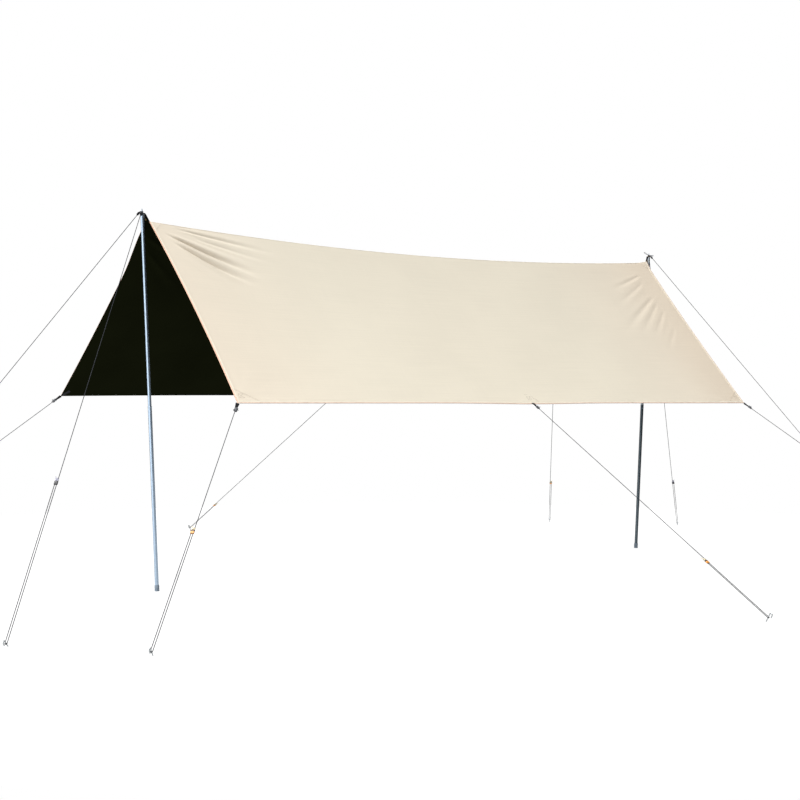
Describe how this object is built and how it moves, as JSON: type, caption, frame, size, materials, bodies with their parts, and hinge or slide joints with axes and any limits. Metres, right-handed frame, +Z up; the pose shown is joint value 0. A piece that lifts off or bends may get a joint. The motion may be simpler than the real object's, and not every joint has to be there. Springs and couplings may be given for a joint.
{
  "type": "canopy tent, a two-pole A-frame camping tarp",
  "caption": "Rectangular tarp pitched as an open A-frame over two upright poles, held by guy lines with sliding adjusters and hooked wire pegs.",
  "frame": {"origin": "middle of the flat sole of the front pole's foot, at ground level", "axes": "+X along the ridge from the front pole to the back pole, +Y to the far side, +Z up"},
  "size_m": [7.8425, 6.5907, 2.4311],
  "materials": {
    "tarp_cloth": "coated woven polyester, beige outside and black inside",
    "pole_steel": "galvanised steel tube, blue-grey",
    "pole_foot_rubber": "black moulded rubber",
    "tab_webbing": "black woven webbing",
    "guy_cord": "light grey braided cord with dark flecks",
    "adjuster_dark": "black moulded plastic",
    "adjuster_amber": "amber moulded plastic",
    "peg_steel": "bright zinc-plated wire"
  },
  "bodies": {
    "tent": {"near_slope": "tarp_cloth", "far_slope": "tarp_cloth", "front_pole_lower_tube": "pole_steel", "front_pole_upper_tube": "pole_steel", "front_pole_foot": "pole_foot_rubber", "front_pole_tip": "pole_steel", "back_pole_lower_tube": "pole_steel", "back_pole_upper_tube": "pole_steel", "back_pole_foot": "pole_foot_rubber", "back_pole_tip": "pole_steel", "front_ridge_tab": "tab_webbing", "back_ridge_tab": "tab_webbing", "near_front_corner_tab": "tab_webbing", "near_middle_tab": "tab_webbing", "near_back_corner_tab": "tab_webbing", "far_front_corner_tab": "tab_webbing", "far_middle_tab": "tab_webbing", "far_back_corner_tab": "tab_webbing", "front_near_guy": "guy_cord", "front_far_guy": "guy_cord", "back_near_guy": "guy_cord", "back_far_guy": "guy_cord", "near_front_corner_guy": "guy_cord", "near_middle_guy": "guy_cord", "near_back_corner_guy": "guy_cord", "far_front_corner_guy": "guy_cord", "far_middle_guy": "guy_cord", "far_back_corner_guy": "guy_cord", "front_near_guy_peg": "peg_steel", "front_far_guy_peg": "peg_steel", "back_near_guy_peg": "peg_steel", "back_far_guy_peg": "peg_steel", "near_front_corner_guy_peg": "peg_steel", "near_middle_guy_peg": "peg_steel", "near_back_corner_guy_peg": "peg_steel", "far_front_corner_guy_peg": "peg_steel", "far_middle_guy_peg": "peg_steel", "far_back_corner_guy_peg": "peg_steel"},
    "front_near_adjuster": {"front_near_guy_adjuster": "adjuster_dark"},
    "front_far_adjuster": {"front_far_guy_adjuster": "adjuster_dark"},
    "back_near_adjuster": {"back_near_guy_adjuster": "adjuster_dark"},
    "back_far_adjuster": {"back_far_guy_adjuster": "adjuster_dark"},
    "near_front_corner_adjuster": {"near_front_corner_guy_adjuster": "adjuster_amber"},
    "near_middle_adjuster": {"near_middle_guy_adjuster": "adjuster_amber"},
    "near_back_corner_adjuster": {"near_back_corner_guy_adjuster": "adjuster_amber"},
    "far_front_corner_adjuster": {"far_front_corner_guy_adjuster": "adjuster_amber"},
    "far_middle_adjuster": {"far_middle_guy_adjuster": "adjuster_amber"},
    "far_back_corner_adjuster": {"far_back_corner_guy_adjuster": "adjuster_amber"}
  },
  "joints": [
    {"name": "front_near_slide", "type": "slide", "parent": "tent", "child": "front_near_adjuster", "axis": [-0.455, -0.4409, -0.7737], "range_m": [0, 0.87]},
    {"name": "front_far_slide", "type": "slide", "parent": "tent", "child": "front_far_adjuster", "axis": [-0.4817, 0.4238, -0.767], "range_m": [0, 0.87]},
    {"name": "back_near_slide", "type": "slide", "parent": "tent", "child": "back_near_adjuster", "axis": [0.5302, -0.3758, -0.76], "range_m": [0, 0.43]},
    {"name": "back_far_slide", "type": "slide", "parent": "tent", "child": "back_far_adjuster", "axis": [0.5274, 0.3785, -0.7607], "range_m": [0, 0.43]},
    {"name": "near_front_corner_slide", "type": "slide", "parent": "tent", "child": "near_front_corner_adjuster", "axis": [-0.5608, -0.5328, -0.6337], "range_m": [0, 0.7]},
    {"name": "near_middle_slide", "type": "slide", "parent": "tent", "child": "near_middle_adjuster", "axis": [-0.0466, -0.869, -0.4927], "range_m": [0, 0.42]},
    {"name": "near_back_corner_slide", "type": "slide", "parent": "tent", "child": "near_back_corner_adjuster", "axis": [0.5772, -0.5678, -0.5868], "range_m": [0, 0.6]},
    {"name": "far_front_corner_slide", "type": "slide", "parent": "tent", "child": "far_front_corner_adjuster", "axis": [-0.5908, 0.5601, -0.5807], "range_m": [0, 0.7]},
    {"name": "far_middle_slide", "type": "slide", "parent": "tent", "child": "far_middle_adjuster", "axis": [0.0102, 0.8921, -0.4518], "range_m": [0, 0.42]},
    {"name": "far_back_corner_slide", "type": "slide", "parent": "tent", "child": "far_back_corner_adjuster", "axis": [0.5194, 0.5877, -0.6204], "range_m": [0, 0.52]}
  ]
}
